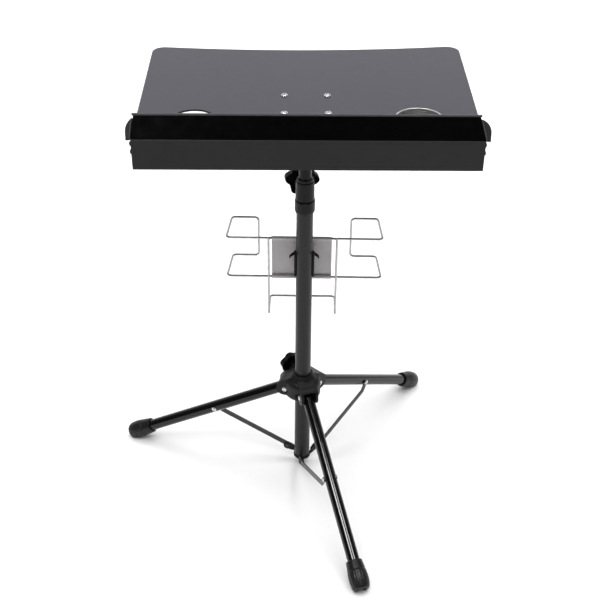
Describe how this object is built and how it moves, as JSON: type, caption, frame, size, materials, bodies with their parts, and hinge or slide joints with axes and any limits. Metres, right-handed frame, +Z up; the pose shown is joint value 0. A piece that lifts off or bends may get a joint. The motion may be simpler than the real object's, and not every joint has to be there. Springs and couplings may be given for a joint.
{
  "type": "music stand",
  "caption": "Folding tripod music stand with a height-adjustable pole, a near-level sheet-steel desk with front apron and lip, a cup in the desk and a wire accessory rack",
  "frame": {"origin": "on the floor, on the axis of the pole, at the centre of the tripod", "axes": "+Z up along the pole, -Y to the front (the side of the apron and lip), +X to the right seen from the front"},
  "size_m": [0.5505, 0.535, 0.6832],
  "materials": {
    "powder_coat": "semi-gloss black powder coat",
    "gloss_black": "gloss black paint",
    "brace_black": "satin black paint",
    "black_plastic": "fine moulded texture",
    "black_rubber": "satin moulded rubber",
    "zinc_steel": "bright zinc plating",
    "silver_wire": "nickel plated wire",
    "grey_plate": "grey satin paint",
    "steel_cup": "spun stainless steel",
    "brass": "turned brass",
    "nylon": "natural nylon"
  },
  "bodies": {
    "pole": {"lower_tube": "gloss_black", "clutch_lower_sleeve": "black_plastic", "clutch_upper_sleeve": "black_plastic", "clutch_insert": "brass", "clutch_bush": "nylon", "spider": "black_plastic", "spider_rivets": "zinc_steel"},
    "clutch_knob": {"clutch_knob": "black_plastic", "clutch_stud": "zinc_steel"},
    "brace_front": {"brace_front": "brace_black"},
    "brace_right": {"brace_right": "brace_black"},
    "brace_left": {"brace_left": "brace_black"},
    "leg_front": {"leg_tube_front": "gloss_black", "foot_front": "black_rubber", "leg_rivet_front": "zinc_steel"},
    "leg_right": {"leg_tube_right": "gloss_black", "foot_right": "black_rubber", "leg_rivet_right": "zinc_steel"},
    "leg_left": {"leg_tube_left": "gloss_black", "foot_left": "black_rubber", "leg_rivet_left": "zinc_steel"},
    "hub": {"hub": "black_plastic", "hub_insert": "brass", "hub_rivets": "zinc_steel"},
    "hub_knob": {"hub_knob": "black_plastic", "hub_stud": "zinc_steel"},
    "glide": {"glide_plug": "nylon"},
    "mast": {"upper_tube": "gloss_black", "tilt_head": "black_plastic", "head_pin": "zinc_steel"},
    "desk": {"desk_panel": "powder_coat", "front_apron": "powder_coat", "front_lip": "gloss_black", "end_cap_left": "black_plastic", "end_cap_right": "black_plastic", "side_flange_left": "powder_coat", "side_flange_right": "powder_coat", "side_screws": "zinc_steel", "hole_trim": "black_plastic", "desk_bracket": "powder_coat", "bracket_screws": "zinc_steel", "bracket_nuts": "zinc_steel", "tilt_bolt": "zinc_steel", "tilt_washers": "nylon"},
    "tilt_knob": {"tilt_knob": "black_plastic"},
    "cup": {"cup": "steel_cup"},
    "rack": {"rack_loop_left": "silver_wire", "rack_loop_right": "silver_wire", "rack_hook": "silver_wire", "rack_plate": "grey_plate", "rack_clip": "black_plastic", "rack_rivets": "zinc_steel"}
  },
  "joints": [
    {"name": "tripod_fold", "type": "hinge", "parent": "pole", "child": "brace_front", "pos_m": [0.0077, -0.02588, 0.023], "axis": [-0.9585, -0.2852, 0], "range_deg": [0, 55]},
    {"name": "leg_front_fold", "type": "hinge", "parent": "brace_front", "child": "leg_front", "pos_m": [0.04319, -0.14516, 0.0917], "axis": [0.9585, 0.2852, 0], "range_deg": [0, 110]},
    {"name": "brace_right_fold", "type": "hinge", "parent": "pole", "child": "brace_right", "pos_m": [0.01856, 0.01961, 0.023], "axis": [0.7262, -0.6875, 0], "range_deg": [0, 55]},
    {"name": "leg_right_fold", "type": "hinge", "parent": "brace_right", "child": "leg_right", "pos_m": [0.10412, 0.10999, 0.0917], "axis": [-0.7262, 0.6875, 0], "range_deg": [0, 110]},
    {"name": "brace_left_fold", "type": "hinge", "parent": "pole", "child": "brace_left", "pos_m": [-0.02626, 0.00627, 0.023], "axis": [0.2323, 0.9727, 0], "range_deg": [0, 55]},
    {"name": "leg_left_fold", "type": "hinge", "parent": "brace_left", "child": "leg_left", "pos_m": [-0.14731, 0.03518, 0.0917], "axis": [-0.2323, -0.9727, 0], "range_deg": [0, 110]},
    {"name": "hub_level", "type": "hinge", "parent": "leg_front", "child": "hub", "pos_m": [0.0077, -0.02588, 0.1604], "axis": [-0.9585, -0.2852, 0], "range_deg": [0, 55]},
    {"name": "hub_knob_turn", "type": "hinge", "parent": "hub", "child": "hub_knob", "pos_m": [-0.01218, 0.03174, 0.1765], "axis": [-0.3584, 0.9336, 0], "continuous": true},
    {"name": "clutch_knob_turn", "type": "hinge", "parent": "pole", "child": "clutch_knob", "pos_m": [-0.0028, 0.02283, 0.5265], "axis": [-0.1219, 0.9925, 0], "continuous": true},
    {"name": "mast_raise", "type": "slide", "parent": "pole", "child": "glide", "axis": [0, 0, 1], "range_m": [-0.03, 0.32]},
    {"name": "mast_swivel", "type": "hinge", "parent": "glide", "child": "mast", "pos_m": [0, 0, 0.15], "axis": [0, 0, 1], "continuous": true},
    {"name": "desk_tilt", "type": "hinge", "parent": "mast", "child": "desk", "pos_m": [0, 0, 0.631], "axis": [1, 0, 0], "range_deg": [-12, 55]},
    {"name": "tilt_knob_turn", "type": "hinge", "parent": "desk", "child": "tilt_knob", "pos_m": [0.0116, 0, 0.631], "axis": [1, 0, 0], "continuous": true},
    {"name": "cup_lift", "type": "slide", "parent": "desk", "child": "cup", "axis": [0, -0.0436, 0.999], "range_m": [0, 0.08]},
    {"name": "rack_slide", "type": "slide", "parent": "pole", "child": "rack", "axis": [0, 0, 1], "range_m": [-0.06, 0.05]}
  ],
  "couplings": [
    {"joint": "leg_front_fold", "follows": "tripod_fold", "ratio": 2},
    {"joint": "brace_right_fold", "follows": "tripod_fold", "ratio": 1},
    {"joint": "leg_right_fold", "follows": "tripod_fold", "ratio": 2},
    {"joint": "brace_left_fold", "follows": "tripod_fold", "ratio": 1},
    {"joint": "leg_left_fold", "follows": "tripod_fold", "ratio": 2},
    {"joint": "hub_level", "follows": "tripod_fold", "ratio": 1}
  ]
}
